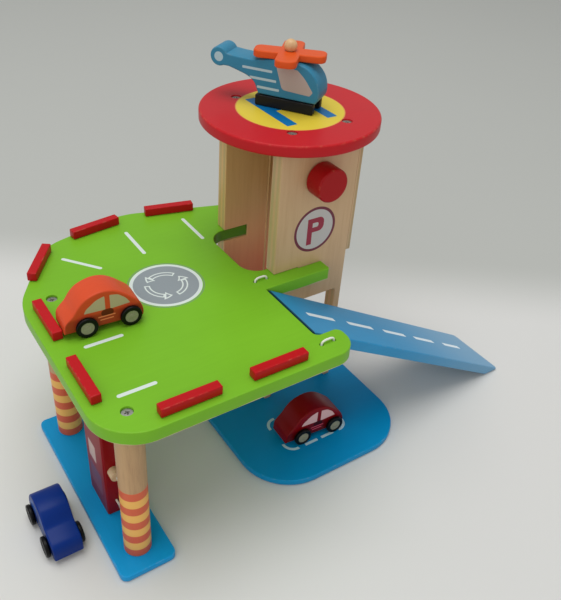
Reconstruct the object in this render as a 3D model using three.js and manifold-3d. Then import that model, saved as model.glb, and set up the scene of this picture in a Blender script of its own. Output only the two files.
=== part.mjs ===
// A wooden toy parking garage with a lift, a ramp, a helicopter pad, a fuel pump and three cars.
// Millimetres, +Z up. The origin is on the table, under the middle of the lift tower.
// +X runs along the deck's straight front edge, towards the ramp's foot, and +Y runs away from that edge.
import * as THREE from "three";
import { mergeVertices } from "three/addons/utils/BufferGeometryUtils.js";
import Module from "manifold-3d";

const wasm = await Module();
wasm.setup();

// Clearances
const seat = 0.3;
const pinFit = 0.3;
const overrun = 3;

// Boards that lie flat
const footBoardThickness = 6;
const deckTop = 156;
const deckThickness = 12;
const deckBottom = deckTop - deckThickness;

// Lift tower: two side walls, one low door, a thin back board above the deck
const wallThickness = 13;
const wallInner = 36.5;
const wallOuter = wallInner + wallThickness;
const towerHalfLength = 40;
const wallTop = 274;
const wallFoot = footBoardThickness + seat;
const lapX = -14;
const doorHalfWidth = 33;
const doorTop = 117.5;
const doorCorner = 3;
const backBoardThickness = 4;
const backBoardLift = 3;

// Tower base board
const baseLeft = -101;
const baseRight = 62;
const baseFront = -154;
const baseBack = 58;
const baseFrontCorner = 48;
const baseBackCorner = 12;

// Ramp, hung on a dowel from two cord ties
const rampWidth = 66;
const rampThickness = 10;
const rampFarGap = 1;
const rampNearGap = 5.4;
const rampEndGap = 1.5;
const rampDrop = 0.5;
const farTongueWidth = 14.3;
const nearTongueWidth = 27.8;
const rampMiddleY = -wallOuter - farTongueWidth - rampFarGap - rampWidth / 2;
const rampFoot = 210;
const rampNose = 0.8;
const rampToeCorner = 4;
const notchX = -57.5;
const notchNear = rampMiddleY - rampWidth / 2 - rampNearGap;
const notchFar = rampMiddleY + rampWidth / 2 + rampFarGap;
const rampStart = notchX + rampEndGap;
const rampTop = deckTop - rampDrop;
const rampSlope = (rampTop - rampNose) / (rampFoot - rampStart);
const rampUpright = rampThickness * Math.hypot(1, rampSlope);
const dowelRadius = 3.5;
const dowelX = notchX + dowelRadius;
const dowelZ = deckBottom - seat - dowelRadius - seat;
const dowelEnd = 8;
const tieRadius = 1;
const tieSpan = 12;
const tieRise = 3;
const tieHoleRadius = 2;
const tieNearOut = 16.2;
const tieFarOut = 14.8;
const tieNearY = rampMiddleY - rampWidth / 2 - tieNearOut;
const tieFarY = rampMiddleY + rampWidth / 2 + tieFarOut;
const tieGap = 0.4;

// Helicopter pad
const padRadius = 77.5;
const padThickness = 10;
const padBottom = wallTop + seat;
const padTop = padBottom + padThickness;
const padEdge = 2.5;
const padScrewX = 27.5;

// Deck outline
const deckLeft = -245;
const deckFront = notchNear - nearTongueWidth;
const deckFrontCorner = 38;
const deckSideTop = 13;
const deckSideCorner = 60;
const deckShoulder = [-200, 88];
const deckShoulderCorner = 45;
const deckPeak = [-115, 111];
const deckPeakCorner = 60;
const tongueEnd = 11;
const tongueBack = 75;
const tongueCorner = 2;
const liftHoleLeft = -58.5;
const liftHoleInner = 37.7;
const liftHoleNearCorner = 17;
const liftHoleFarCorner = 18;
const notchCorner = 5;
const nearTongueEnd = -35;
const nearTongueOuterCorner = 18;
const nearTongueInnerCorner = 6;

// Legs under the deck's far side, with the screws that hold them
const legRadius = 11;
const legSideInset = 25.5;
const legX = deckLeft + legSideInset;
const legInset = 25;
const legNearY = deckFront + legInset;
const legFarY = 9.5;

// Wood screws
const screwHeadRadius = 4.2;
const screwHeadDepth = 2.6;
const screwShankRadius = 1.9;
const screwLength = 30;

// Side plank that joins the two legs
const plankLeftOut = 23;
const plankRightOut = 24;
const plankLeft = legX - plankLeftOut;
const plankRight = legX + plankRightOut;
const plankInset = 2;
const plankFront = deckFront + plankInset;
const plankBack = 31;
const plankCorner = 6;

// Bumper blocks glued along the deck's rim: their middles, and their turns from +X in degrees
const blockLength = 48;
const blockWidth = 8;
const blockHeight = 8;
const blockEdge = 1;
const blockInset = 10.5;
const blockFrontY = deckFront + blockInset;
const blockLeftX = deckLeft + blockInset;
const blockFarIn = 1.1;
const blockCornerX = deckShoulder[0] - blockLength / 4;
const blockCornerY = deckShoulder[1] - blockInset * 8 / 3;
const blockPlaces = {
  bumper_front_left: [-178.5, blockFrontY],
  bumper_front_right: [-104, blockFrontY],
  bumper_left_near: [blockLeftX, -99],
  bumper_left_far: [blockLeftX + blockFarIn, -21],
  bumper_corner: [blockCornerX, blockCornerY],
  bumper_back_left: [-147.6, 93.7],
  bumper_back_right: [-70.7, 93.5],
};
const blockTurns = {
  bumper_front_left: 0,
  bumper_front_right: 0,
  bumper_left_near: 90,
  bumper_left_far: 90,
  bumper_corner: 56,
  bumper_back_left: 7.9,
  bumper_back_right: -12.3,
};

// Lift: platform, two cords, axle and knob
const platformThickness = 8;
const platformGap = 1;
const platformBottom = footBoardThickness + seat;
const platformTop = platformBottom + platformThickness;
const axleRadius = 4;
const axleDrop = 32;
const axleZ = wallTop - axleDrop;
const axleTail = 3;
const liftCordRadius = 1;
const liftCordInset = 4;
const knobRadius = 15;
const knobLength = 18.5;
const knobGap = 0.5;
const knobEdge = 1.5;
const knobSocketShare = 0.7;

// Fuel pump with its nozzle peg and hose
const pumpX = legX;
const pumpWidth = 18;
const pumpFront = -101.3;
const pumpBack = -63.3;
const pumpHeight = 118;
const pumpEdge = 2;
const pegOffset = 1.5;
const pegX = pumpX - pegOffset;
const pegZ = 58;
const pegRadius = 4.7;
const pegOut = 8;
const pegIn = 18;
const pegEdge = 0.8;
const hoseRadius = 1;
const hoseHoleRadius = 1.5;
const hoseHoleDepth = 6;
// The hose, from the peg's outer end down to its hole, counted from the peg's middle on the pump's near face
const hoseShape = [
  [0, -8.3, 0], [0, -11.2, -0.3], [0.1, -14.2, -2.1], [0.4, -16.4, -5.6], [0.8, -17.2, -10.2],
  [1.2, -17.1, -15.4], [1.5, -16.6, -20.8], [1.8, -16.1, -26.2], [2.1, -15.5, -31.6], [2.4, -14.8, -37],
  [2.7, -13.5, -42.2], [2.9, -11.2, -46.6], [2.9, -7.9, -48.4], [2.6, -5, -46.6], [2, -3.8, -42.6],
  [1.2, -3.3, -38.8], [0.6, -1.6, -36.6], [0.4, 1.2, -36.3], [0.4, 5, -36.3],
];
const hoseRoute = hoseShape.map(([x, y, z]) => [pegX + x, pumpFront + y, pegZ + z]);

// Helicopter, turned on the pad
const heliPlace = [-7.6, -0.6];
const heliTurn = -56.1;
const heliThickness = 22;
const heliLength = 96;
const heliHeight = 40;
const skidLength = 52;
const skidThickness = 6;
const skidHeight = 9;
const skidOut = 1;
const tailRadius = 8;
const tailMiddle = [-61, 34.3];
const rotorRadius = 30;
const rotorArmWidth = 18;
const rotorThickness = 6;
const rotorAlong = -1.4;
const rotorTurn = 13;
const rotorPegRadius = 2.5;
const rotorBallRadius = 5.4;
const rotorBallSteps = 8;
const rotorBallSeatShare = 0.6667;
const rotorPegDepth = 20;
const rotorHubCorner = 6;

// Side outline of the helicopter as shares of its length and height
const heliShares = [
  [0.281, 0.237], [0.307, 0.338], [0.312, 0.475], [0.297, 0.65], [0.255, 0.812], [0.188, 0.938],
  [0.094, 1], [-0.125, 1], [-0.229, 0.955], [-0.312, 0.93], [-0.552, 0.938], [-0.583, 0.675],
  [-0.542, 0.688], [-0.438, 0.625], [-0.344, 0.55], [-0.292, 0.45], [-0.266, 0.325],
  [-0.25, 0.237],
];

// Toy cars
const carWidth = 24;
const wheelRadius = 8.75;
const wheelThickness = 3.6;
const wheelGap = 0.4;
const wheelEdge = 0.8;
const wheelFace = 1.2;
const wheelBase = 35.5;
const carAxleRadius = 1.75;

// Side outlines of the cars, nose at +X, as shares of length and height above the wheels' ground
const roundCarShares = [
  [0.543, 0.147], [0.527, 0.373], [0.48, 0.48], [0.418, 0.587], [0.355, 0.747], [0.277, 0.88],
  [0.152, 0.973], [0.043, 1], [-0.082, 0.96], [-0.191, 0.853], [-0.301, 0.693], [-0.395, 0.533],
  [-0.441, 0.373], [-0.457, 0.24], [-0.449, 0.12],
];
const longCarShares = [
  [0.545, 0.16], [0.537, 0.4], [0.49, 0.533], [0.33, 0.627], [0.25, 0.667], [0.134, 0.893],
  [0.06, 0.973], [-0.119, 1], [-0.269, 0.933], [-0.388, 0.72], [-0.44, 0.48], [-0.455, 0.24],
  [-0.448, 0.12],
];

// Car list: name, outline, length, height, place of the ground point, turn, body colour
const orangeCarLength = 64;
const redCarLength = 64;
const blueCarLength = 59.5;
const carHeight = 36.5;
const orangeCarPlace = [-193.9, -38.5];
const redCarPlace = [-23.5, -103.6];
const blueCarPlace = [-269.3, -88];
const cars = [
  {
    name: "orange_car",
    shares: roundCarShares,
    length: orangeCarLength,
    place: [...orangeCarPlace, deckTop + seat],
    turn: 177,
    colour: 0xe15532,
  },
  {
    name: "red_car",
    shares: roundCarShares,
    length: redCarLength,
    place: [...redCarPlace, footBoardThickness + seat],
    turn: 177,
    colour: 0x780a0f,
  },
  {
    name: "blue_car",
    shares: longCarShares,
    length: blueCarLength,
    place: [...blueCarPlace, 0],
    turn: -90,
    colour: 0x053282,
  },
];

// Facets around turned pieces
const fineSides = 24;
const plainSides = 16;
const smallSides = 10;
const padSides = 56;
const cordSides = 8;
const arcSteps = 6;
const easedSteps = 2;

// Colours and finishes
const finishes = {
  deckGreen: { color: 0x7fbd34, roughness: 0.45 },
  rampBlue: { color: 0x5091b4, roughness: 0.45 },
  baseBlue: { color: 0x145f9b, roughness: 0.45 },
  plywood: { color: 0xc8a878, roughness: 0.6 },
  dowelWood: { color: 0xd2a878, roughness: 0.6 },
  padRed: { color: 0xc63428, roughness: 0.4 },
  paintRed: { color: 0xc81e28, roughness: 0.4 },
  knobRed: { color: 0x8c1e20, roughness: 0.4 },
  pumpRed: { color: 0x780f14, roughness: 0.4 },
  heliBlue: { color: 0x3c6e82, roughness: 0.5 },
  skidBlack: { color: 0x17181a, roughness: 0.5 },
  rotorOrange: { color: 0xeb6432, roughness: 0.45 },
  wheelBlack: { color: 0x17181a, roughness: 0.5 },
  cordWhite: { color: 0xe6e1d7, roughness: 0.9 },
  screwZinc: { color: 0xa8a8a8, roughness: 0.35, metalness: 0.9 },
  axleSteel: { color: 0xb4b4b4, roughness: 0.3, metalness: 0.9 },
};

const garage = new THREE.Group();

function material(finish) {
  return new THREE.MeshStandardMaterial({ metalness: 0, ...finish });
}

function addPiece(name, geometry, finish, parent = garage) {
  const mesh = new THREE.Mesh(geometry, material(finish));
  mesh.name = name;
  parent.add(mesh);
  return mesh;
}

// A closed geometry as a solid that can be cut and joined
function toSolid(geometry) {
  const bare = geometry.clone();
  bare.deleteAttribute("normal");
  bare.deleteAttribute("uv");
  const merged = mergeVertices(bare);
  return new wasm.Manifold(new wasm.Mesh({
    numProp: 3,
    vertProperties: new Float32Array(merged.attributes.position.array),
    triVerts: new Uint32Array(merged.index.array),
  }));
}

function toGeometry(solid) {
  const mesh = solid.getMesh();
  const geometry = new THREE.BufferGeometry();
  geometry.setAttribute("position", new THREE.BufferAttribute(mesh.vertProperties, mesh.numProp));
  geometry.setIndex(new THREE.BufferAttribute(mesh.triVerts, 1));
  geometry.computeVertexNormals();
  return geometry;
}

function cut(geometry, ...tools) {
  const result = tools.reduce((rest, tool) => rest.subtract(toSolid(tool)), toSolid(geometry));
  return toGeometry(result);
}

// A closed outline through corners [x, y, radius], each corner rounded by an arc
function roundedShape(corners) {
  const shape = new THREE.Shape();
  corners.forEach(([x, y, radius = 0], i) => {
    const [backX, backY] = corners.at(i - 1);
    const [onX, onY] = corners[(i + 1) % corners.length];
    const corner = new THREE.Vector2(x, y);
    const back = new THREE.Vector2(backX, backY).sub(corner).normalize();
    const on = new THREE.Vector2(onX, onY).sub(corner).normalize();
    const half = Math.acos(back.dot(on)) / 2;
    const run = radius / Math.tan(half);
    const start = corner.clone().addScaledVector(back, run);
    const end = corner.clone().addScaledVector(on, run);
    if (i === 0) {
      shape.moveTo(start.x, start.y);
    } else {
      shape.lineTo(start.x, start.y);
    }
    if (radius > 0) {
      const middle = back.clone().add(on).normalize().multiplyScalar(radius / Math.sin(half)).add(corner);
      const startAngle = start.sub(middle).angle();
      const endAngle = end.sub(middle).angle();
      shape.absarc(middle.x, middle.y, radius, startAngle, endAngle, back.cross(on) > 0);
    }
  });
  return shape;
}

function rectangle(x0, x1, y0, y1, radius = 0) {
  return roundedShape([[x0, y0, radius], [x1, y0, radius], [x1, y1, radius], [x0, y1, radius]]);
}

// A flat board: the outline in X and Y, from bottom upwards
function board(shape, bottom, thickness, curveSegments = arcSteps) {
  const geometry = new THREE.ExtrudeGeometry(shape, { depth: thickness, bevelEnabled: false, curveSegments });
  return geometry.translate(0, 0, bottom);
}

// An upright board: the outline in X and Z, from Y = near to far
function upright(shape, near, far, curveSegments = arcSteps) {
  return board(shape, 0, far - near, curveSegments).rotateX(Math.PI / 2).translate(0, far, 0);
}

// A turned piece about Z from a profile of [radius, z] that rises from its lower end
function turned(profile, sides) {
  const points = profile.map(([radius, z]) => new THREE.Vector2(radius, z));
  return new THREE.LatheGeometry(points, sides).rotateX(Math.PI / 2);
}

// A plain rod about Z with both rims eased
function rod(radius, bottom, top, edge, sides) {
  return turned([
    [0, bottom], [radius - edge, bottom], [radius, bottom + edge],
    [radius, top - edge], [radius - edge, top], [0, top],
  ], sides);
}

// A drill about Z that is left sharp
function drill(radius, bottom, top, sides) {
  return turned([[0, bottom], [radius, bottom], [radius, top], [0, top]], sides);
}

// The hole of a countersunk screw whose head is flush with top, open above it
function screwHole(x, y, top) {
  const head = screwHeadRadius + pinFit;
  const shank = screwShankRadius + pinFit;
  const end = top - screwLength - pinFit;
  return turned([
    [0, end], [shank, end], [shank, top - screwHeadDepth - pinFit], [head, top - pinFit / 2],
    [head, top + overrun], [0, top + overrun],
  ], plainSides).translate(x, y, 0);
}

// A countersunk screw with a flat head at top
function woodScrew(x, y, top) {
  const end = top - screwLength;
  return turned([
    [0, end], [screwShankRadius, end], [screwShankRadius, top - screwHeadDepth],
    [screwHeadRadius, top], [0, top],
  ], plainSides).translate(x, y, 0);
}

// A cord of 8 sides along a smooth route, with a step every two diameters
function cord(points, radius) {
  const route = new THREE.CatmullRomCurve3(points.map((p) => new THREE.Vector3(...p)), false, "centripetal");
  const section = new THREE.Shape();
  section.absarc(0, 0, radius, 0, Math.PI * 2);
  return new THREE.ExtrudeGeometry(section, {
    steps: Math.round(route.getLength() / (radius * 4)),
    curveSegments: cordSides,
    bevelEnabled: false,
    extrudePath: route,
  });
}

function buildBoards() {
  const legs = [[legX, legNearY], [legX, legFarY]];
  const deck = board(roundedShape([
    [deckLeft, deckFront, deckFrontCorner],
    [nearTongueEnd, deckFront, nearTongueOuterCorner],
    [nearTongueEnd, notchNear, nearTongueInnerCorner],
    [notchX, notchNear, notchCorner],
    [notchX, notchFar],
    [tongueEnd, notchFar, tongueCorner],
    [tongueEnd, -wallOuter - seat],
    [lapX - seat / 2, -wallOuter - seat],
    [lapX - seat / 2, -liftHoleInner],
    [liftHoleLeft, -liftHoleInner, liftHoleNearCorner],
    [liftHoleLeft, liftHoleInner, liftHoleFarCorner],
    [lapX - seat / 2, liftHoleInner],
    [lapX - seat / 2, wallOuter + seat],
    [tongueEnd, wallOuter + seat],
    [tongueEnd, tongueBack, tongueCorner],
    [...deckPeak, deckPeakCorner],
    [...deckShoulder, deckShoulderCorner],
    [deckLeft, deckSideTop, deckSideCorner],
  ]), deckBottom, deckThickness);
  const screwHoles = legs.map(([x, y]) => screwHole(x, y, deckTop));
  const tieHoles = [tieNearY, tieFarY].flatMap((y) => [-tieSpan / 2, tieSpan / 2].map((x) => (
    drill(tieHoleRadius, deckBottom - overrun, deckTop + overrun, smallSides).translate(dowelX + x, y, 0)
  )));
  addPiece("deck", cut(deck, ...screwHoles, ...tieHoles), finishes.deckGreen);

  const plank = rectangle(plankLeft, plankRight, plankFront, plankBack, plankCorner);
  addPiece("side_plank", board(plank, 0, footBoardThickness), finishes.rampBlue);
  const base = roundedShape([
    [baseLeft, baseFront, baseFrontCorner],
    [baseRight, baseFront, baseFrontCorner],
    [baseRight, baseBack, baseBackCorner],
    [baseLeft, baseBack, baseBackCorner],
  ]);
  addPiece("tower_base", board(base, 0, footBoardThickness), finishes.baseBlue);

  ["leg_front", "leg_back"].forEach((name, i) => {
    const [x, y] = legs[i];
    const leg = drill(legRadius, footBoardThickness + seat, deckBottom - seat, fineSides).translate(x, y, 0);
    addPiece(name, cut(leg, screwHoles[i]), finishes.dowelWood);
    addPiece(name.replace("leg", "leg_screw"), woodScrew(x, y, deckTop), finishes.screwZinc);
  });
}

function buildBumpers() {
  const section = rectangle(-blockWidth / 2, blockWidth / 2, 0, blockHeight, blockEdge);
  for (const [name, [x, y]] of Object.entries(blockPlaces)) {
    const block = board(section, -blockLength / 2, blockLength, easedSteps);
    block.rotateX(Math.PI / 2).rotateZ(Math.PI / 2);
    const mesh = addPiece(name, block, finishes.paintRed);
    mesh.position.set(x, y, deckTop + seat);
    mesh.rotation.z = THREE.MathUtils.degToRad(blockTurns[name]);
  }
}

function buildTower() {
  const lapBottom = deckBottom - seat;
  const lapTop = deckTop + seat;
  const left = -towerHalfLength;
  const right = towerHalfLength;
  const slot = [
    [right, wallTop], [left, wallTop], [left, lapTop], [lapX + seat / 2, lapTop],
    [lapX + seat / 2, lapBottom], [left, lapBottom],
  ];
  const nearShape = roundedShape([
    [left, wallFoot],
    [-doorHalfWidth, wallFoot],
    [-doorHalfWidth, doorTop, doorCorner],
    [doorHalfWidth, doorTop, doorCorner],
    [doorHalfWidth, wallFoot],
    [right, wallFoot],
    ...slot,
  ]);
  const farShape = roundedShape([[left, wallFoot], [right, wallFoot], ...slot]);
  const axleHole = drill(axleRadius + pinFit, -wallOuter - overrun, wallOuter + overrun, fineSides);
  axleHole.rotateX(-Math.PI / 2).translate(0, 0, axleZ);
  const padScrewY = wallInner + wallThickness / 2;
  const padScrews = [
    ["pad_screw_near_left", -padScrewX, -padScrewY], ["pad_screw_near_right", padScrewX, -padScrewY],
    ["pad_screw_far_left", -padScrewX, padScrewY], ["pad_screw_far_right", padScrewX, padScrewY],
  ];
  const padHoles = padScrews.map(([, x, y]) => screwHole(x, y, padTop));
  const near = upright(nearShape, -wallOuter, -wallInner);
  const far = upright(farShape, wallInner, wallOuter);
  addPiece("tower_wall_near", cut(near, axleHole, padHoles[0], padHoles[1]), finishes.plywood);
  addPiece("tower_wall_far", cut(far, axleHole, padHoles[2], padHoles[3]), finishes.plywood);

  const backBottom = deckTop + backBoardLift;
  const back = new THREE.BoxGeometry(backBoardThickness, wallOuter * 2, wallTop - backBottom);
  back.translate(towerHalfLength + seat + backBoardThickness / 2, 0, (wallTop + backBottom) / 2);
  addPiece("tower_wall_back", back, finishes.plywood);

  const pad = turned([
    [0, padBottom], [padRadius, padBottom], [padRadius, padTop - padEdge],
    [padRadius - padEdge * (1 - Math.SQRT1_2), padTop - padEdge * (1 - Math.SQRT1_2)],
    [padRadius - padEdge, padTop], [0, padTop],
  ], padSides);
  addPiece("helipad_disc", cut(pad, ...padHoles), finishes.padRed);
  for (const [name, x, y] of padScrews) {
    addPiece(name, woodScrew(x, y, padTop), finishes.screwZinc);
  }
}

function buildLift() {
  const half = wallInner - platformGap;
  const left = liftHoleLeft + platformGap;
  const platform = board(roundedShape([
    [left, -half, liftHoleNearCorner],
    [towerHalfLength - platformGap, -half],
    [towerHalfLength - platformGap, half],
    [left, half, liftHoleFarCorner],
  ]), platformBottom, platformThickness);
  addPiece("lift_platform", platform, finishes.paintRed);

  const socketDepth = knobLength * knobSocketShare;
  const knobNear = -wallOuter - knobGap - knobLength;
  const socketEnd = -wallOuter - knobGap - socketDepth;
  const axle = rod(axleRadius, socketEnd + seat, wallOuter + axleTail, knobGap, plainSides);
  addPiece("lift_axle", axle.rotateX(-Math.PI / 2).translate(0, 0, axleZ), finishes.dowelWood);
  const knob = rod(knobRadius, knobNear, knobNear + knobLength, knobEdge, fineSides);
  const socket = drill(axleRadius + pinFit, socketEnd, -wallOuter + overrun, fineSides);
  const bored = cut(knob, socket);
  addPiece("lift_knob", bored.rotateX(-Math.PI / 2).translate(0, 0, axleZ), finishes.knobRed);

  const cordX = axleRadius + seat + liftCordRadius;
  [["lift_cord_near", -wallInner + liftCordInset], ["lift_cord_far", wallInner - liftCordInset]]
    .forEach(([name, y]) => {
      const line = drill(liftCordRadius, platformTop + seat, axleZ, cordSides).translate(cordX, y, 0);
      addPiece(name, line, finishes.cordWhite);
    });
}

function buildRamp() {
  const under = (x) => rampTop - (x - rampStart) * rampSlope - rampUpright;
  const flatStart = rampStart + (rampTop - rampUpright) / rampSlope;
  const side = roundedShape([
    [rampStart, under(rampStart)], [flatStart, 0], [rampFoot, 0], [rampFoot, rampNose], [rampStart, rampTop],
  ]);
  const near = rampMiddleY - rampWidth / 2;
  const far = rampMiddleY + rampWidth / 2;
  const blank = upright(side, near, far);
  const plan = rectangle(rampStart - rampFoot, rampFoot, near, far, rampToeCorner);
  const trim = toSolid(board(plan, -overrun, deckTop + overrun * 2));
  const groove = drill(dowelRadius + pinFit, near - overrun, far + overrun, fineSides);
  groove.rotateX(-Math.PI / 2).translate(dowelX, 0, dowelZ);
  const ramp = toSolid(blank).intersect(trim).subtract(toSolid(groove));
  addPiece("ramp", toGeometry(ramp), finishes.rampBlue);

  const dowel = drill(dowelRadius, tieNearY - dowelEnd, tieFarY + dowelEnd, plainSides);
  addPiece("ramp_dowel", dowel.rotateX(-Math.PI / 2).translate(dowelX, 0, dowelZ), finishes.dowelWood);

  const half = tieSpan / 2;
  const bottom = dowelZ - dowelRadius - pinFit - tieRadius;
  const crown = deckTop + tieRise;
  const sideRun = [dowelZ - dowelRadius / 2, dowelZ + dowelRadius, deckTop - tieRise / 2];
  const tie = [
    [tieGap, bottom], [half / 2, bottom + tieRadius / 4], [half - tieRadius / 2, bottom + tieRadius * 2],
    ...sideRun.map((z) => [half, z]),
    [half - tieRadius * 0.7, deckTop + tieRadius * 1.6], [half / 2, crown - tieRadius / 5], [0, crown],
    [-half / 2, crown - tieRadius / 5], [-half + tieRadius * 0.7, deckTop + tieRadius * 1.6],
    ...sideRun.reverse().map((z) => [-half, z]),
    [-half + tieRadius / 2, bottom + tieRadius * 2], [-half / 2, bottom + tieRadius / 4], [-tieGap, bottom],
  ];
  [["ramp_tie_near", tieNearY], ["ramp_tie_far", tieFarY]].forEach(([name, y]) => {
    addPiece(name, cord(tie.map(([x, z]) => [dowelX + x, y, z]), tieRadius), finishes.cordWhite);
  });
}

function buildPump() {
  const plan = rectangle(pumpX - pumpWidth / 2, pumpX + pumpWidth / 2, pumpFront, pumpBack, pumpEdge);
  const body = board(plan, footBoardThickness + seat, pumpHeight, easedSteps);
  const pegHole = drill(pegRadius + pinFit, -overrun, pegIn + seat, fineSides);
  pegHole.rotateX(-Math.PI / 2).translate(pegX, pumpFront, pegZ);
  const [hoseX, , hoseZ] = hoseRoute.at(-1);
  const hoseHole = drill(hoseHoleRadius, -overrun, hoseHoleDepth, smallSides);
  hoseHole.rotateX(-Math.PI / 2).translate(hoseX, pumpFront, hoseZ);
  addPiece("pump_body", cut(body, pegHole, hoseHole), finishes.pumpRed);
  const peg = rod(pegRadius, -pegOut, pegIn, pegEdge, fineSides);
  addPiece("pump_peg", peg.rotateX(-Math.PI / 2).translate(pegX, pumpFront, pegZ), finishes.dowelWood);
  addPiece("pump_hose", cord(hoseRoute, hoseRadius), finishes.cordWhite);
}

function buildHelicopter() {
  const helicopter = new THREE.Group();
  helicopter.position.set(...heliPlace, padTop + seat);
  helicopter.rotation.z = THREE.MathUtils.degToRad(heliTurn);
  garage.add(helicopter);

  const middle = heliThickness / 2;
  const side = roundedShape(heliShares.map(([along, up]) => [along * heliLength, up * heliHeight]));
  const tail = drill(tailRadius, 0, heliThickness, fineSides).rotateX(-Math.PI / 2);
  tail.translate(tailMiddle[0], 0, tailMiddle[1]);
  const pegEnd = heliHeight - rotorPegDepth;
  const pegHole = drill(rotorPegRadius + pinFit, pegEnd - seat, heliHeight + overrun, plainSides);
  pegHole.translate(rotorAlong, middle, 0);
  const body = toSolid(upright(side, 0, heliThickness)).add(toSolid(tail)).subtract(toSolid(pegHole));
  addPiece("helicopter_body", toGeometry(body), finishes.heliBlue, helicopter);

  const skid = rectangle(-skidLength / 2, skidLength / 2, 0, skidHeight, skidOut);
  const skidFar = heliThickness + skidOut;
  const nearSkid = upright(skid, -skidOut, skidThickness - skidOut, easedSteps);
  const farSkid = upright(skid, skidFar - skidThickness, skidFar, easedSteps);
  addPiece("skid_near", nearSkid, finishes.skidBlack, helicopter);
  addPiece("skid_far", farSkid, finishes.skidBlack, helicopter);

  const rotorBottom = heliHeight + seat;
  const rotorTop = rotorBottom + rotorThickness;
  const arm = roundedShape([
    [-rotorRadius, -rotorArmWidth / 2, rotorArmWidth / 2 - rotorHubCorner / 2],
    [rotorRadius, -rotorArmWidth / 2, rotorArmWidth / 2 - rotorHubCorner / 2],
    [rotorRadius, rotorArmWidth / 2, rotorArmWidth / 2 - rotorHubCorner / 2],
    [-rotorRadius, rotorArmWidth / 2, rotorArmWidth / 2 - rotorHubCorner / 2],
  ]);
  const along = board(arm, rotorBottom, rotorThickness);
  const across = along.clone().rotateZ(Math.PI / 2);
  const hole = drill(rotorPegRadius + pinFit, rotorBottom - overrun, rotorTop + overrun, plainSides);
  const cross = toSolid(along).add(toSolid(across)).subtract(toSolid(hole));
  const rotor = addPiece("rotor", toGeometry(cross), finishes.rotorOrange, helicopter);
  rotor.position.set(rotorAlong, middle, 0);
  rotor.rotation.z = THREE.MathUtils.degToRad(rotorTurn);

  const ballMiddle = rotorTop + seat + rotorBallRadius * rotorBallSeatShare;
  const firstAngle = Math.acos(rotorBallSeatShare);
  const ball = Array.from({ length: rotorBallSteps }, (_, i) => {
    const angle = firstAngle + ((Math.PI - firstAngle) * i) / (rotorBallSteps - 1);
    const radius = i === rotorBallSteps - 1 ? 0 : rotorBallRadius * Math.sin(angle);
    return [radius, ballMiddle - rotorBallRadius * Math.cos(angle)];
  });
  const peg = turned([
    [0, pegEnd], [rotorPegRadius, pegEnd], [rotorPegRadius, rotorTop + seat], ...ball,
  ], plainSides);
  peg.translate(rotorAlong, middle, 0);
  addPiece("rotor_peg", peg, finishes.dowelWood, helicopter);
}

function buildCar({ name, shares, length, place, turn, colour }) {
  const car = new THREE.Group();
  car.position.set(...place);
  car.rotation.z = THREE.MathUtils.degToRad(turn);
  garage.add(car);

  const side = roundedShape(shares.map(([along, up]) => [along * length, up * carHeight]));
  const half = carWidth / 2;
  const axles = [["front", wheelBase / 2], ["rear", -wheelBase / 2]];
  const bores = axles.map(([, x]) => (
    drill(carAxleRadius + pinFit, -half - overrun, half + overrun, plainSides)
      .rotateX(-Math.PI / 2).translate(x, 0, wheelRadius)
  ));
  const paint = { color: colour, roughness: 0.4 };
  addPiece(`${name}_body`, cut(upright(side, -half, half), ...bores), paint, car);

  const inner = half + wheelGap;
  const outer = inner + wheelThickness;
  const axleEnd = outer - wheelFace - seat;
  for (const [end, x] of axles) {
    const axle = drill(carAxleRadius, -axleEnd, axleEnd, smallSides);
    axle.rotateX(-Math.PI / 2).translate(x, 0, wheelRadius);
    addPiece(`${name}_axle_${end}`, axle, finishes.axleSteel, car);
    for (const [hand, sign] of [["left", 1], ["right", -1]]) {
      const bore = carAxleRadius + pinFit;
      const wheel = turned([
        [0, axleEnd + seat], [bore, axleEnd + seat], [bore, inner], [wheelRadius, inner],
        [wheelRadius, outer - wheelEdge], [wheelRadius - wheelEdge, outer], [0, outer],
      ], plainSides);
      wheel.rotateX((-sign * Math.PI) / 2).translate(x, 0, wheelRadius);
      addPiece(`${name}_wheel_${end}_${hand}`, wheel, finishes.wheelBlack, car);
    }
  }
}

buildBoards();
buildBumpers();
buildTower();
buildLift();
buildRamp();
buildPump();
buildHelicopter();
cars.forEach(buildCar);

export default garage;
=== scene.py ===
"""The dressed toy parking garage: its surfaces, finishes and prints, on a plain floor in soft light.

Shapes and prints are worked out in millimetres in the row frame, and become metres in one place.
"""

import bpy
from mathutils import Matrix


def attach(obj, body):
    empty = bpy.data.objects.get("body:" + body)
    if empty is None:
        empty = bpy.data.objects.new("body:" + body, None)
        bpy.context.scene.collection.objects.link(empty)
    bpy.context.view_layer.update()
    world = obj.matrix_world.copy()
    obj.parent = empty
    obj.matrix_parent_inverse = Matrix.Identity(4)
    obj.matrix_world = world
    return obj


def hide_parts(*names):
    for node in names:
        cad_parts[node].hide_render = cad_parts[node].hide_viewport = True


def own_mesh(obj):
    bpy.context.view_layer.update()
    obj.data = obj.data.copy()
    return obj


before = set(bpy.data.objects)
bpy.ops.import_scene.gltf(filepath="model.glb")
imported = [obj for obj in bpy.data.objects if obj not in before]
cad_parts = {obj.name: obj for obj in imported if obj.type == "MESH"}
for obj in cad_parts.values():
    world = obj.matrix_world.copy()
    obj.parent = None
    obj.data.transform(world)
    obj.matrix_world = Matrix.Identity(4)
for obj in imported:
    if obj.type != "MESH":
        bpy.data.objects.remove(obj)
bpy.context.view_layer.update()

import math
from functools import reduce

import bmesh
import bpy
import numpy as np
from mathutils import Matrix, Vector
from mathutils.geometry import delaunay_2d_cdt

MM = 0.001

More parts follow.
